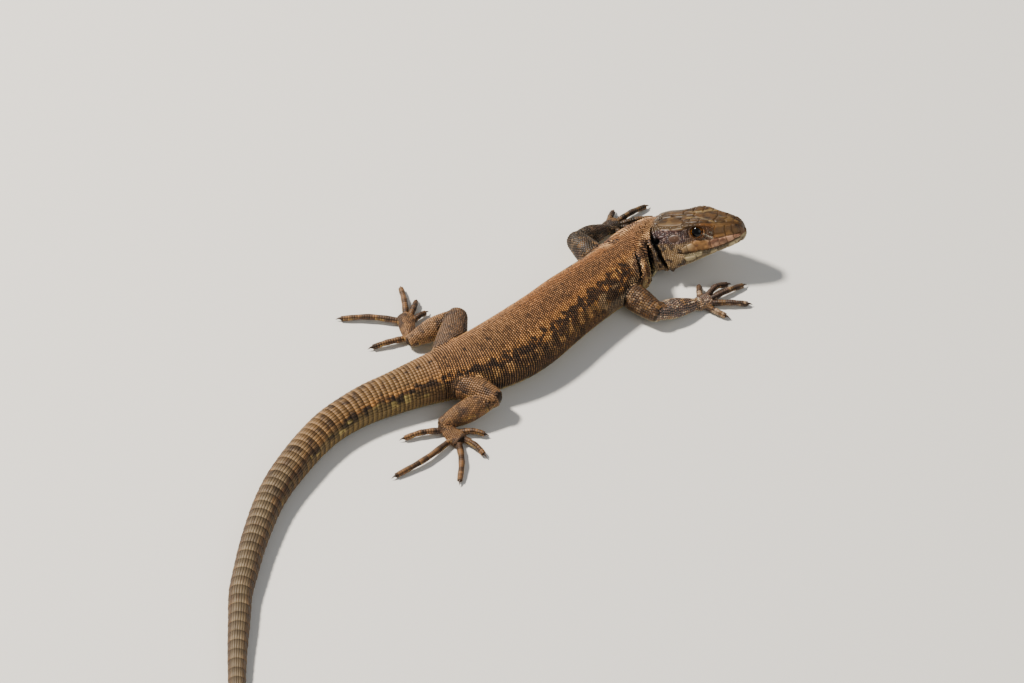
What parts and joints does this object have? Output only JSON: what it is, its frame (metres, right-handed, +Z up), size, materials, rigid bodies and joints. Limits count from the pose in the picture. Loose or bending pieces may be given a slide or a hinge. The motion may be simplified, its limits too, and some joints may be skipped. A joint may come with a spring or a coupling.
{
  "type": "wall lizard model",
  "caption": "Life-size still model of a small slender lizard with a long curved tail, resting on its belly with its head turned and raised.",
  "frame": {"origin": "centre of the model's box, on the surface it lies on", "axes": "+X forward along the trunk, +Y to the animal's left, +Z up"},
  "size_m": [0.1444, 0.0876, 0.0113],
  "materials": {
    "head_skin": "olive-brown horny shields, slightly glossy",
    "body_skin": "reddish-brown granular scales with a dark mottled band along each flank",
    "tail_skin": "brown keeled scales in rings",
    "limb_skin": "grey-brown fine scales",
    "eye": "clear wet gloss over a black pupil and an orange ring"
  },
  "bodies": {
    "root": {"head": "head_skin", "lower_jaw": "head_skin", "eye_left": "eye", "eye_right": "eye", "neck": "body_skin", "trunk": "body_skin", "tail_1": "tail_skin", "tail_2": "tail_skin", "tail_3": "tail_skin", "tail_4": "tail_skin", "fore_right_upper": "limb_skin", "fore_right_lower": "limb_skin", "fore_right_foot": "limb_skin", "fore_left_upper": "limb_skin", "fore_left_lower": "limb_skin", "fore_left_foot": "limb_skin", "hind_right_upper": "limb_skin", "hind_right_lower": "limb_skin", "hind_right_foot": "limb_skin", "hind_left_upper": "limb_skin", "hind_left_lower": "limb_skin", "hind_left_foot": "limb_skin"}
  },
  "joints": []
}
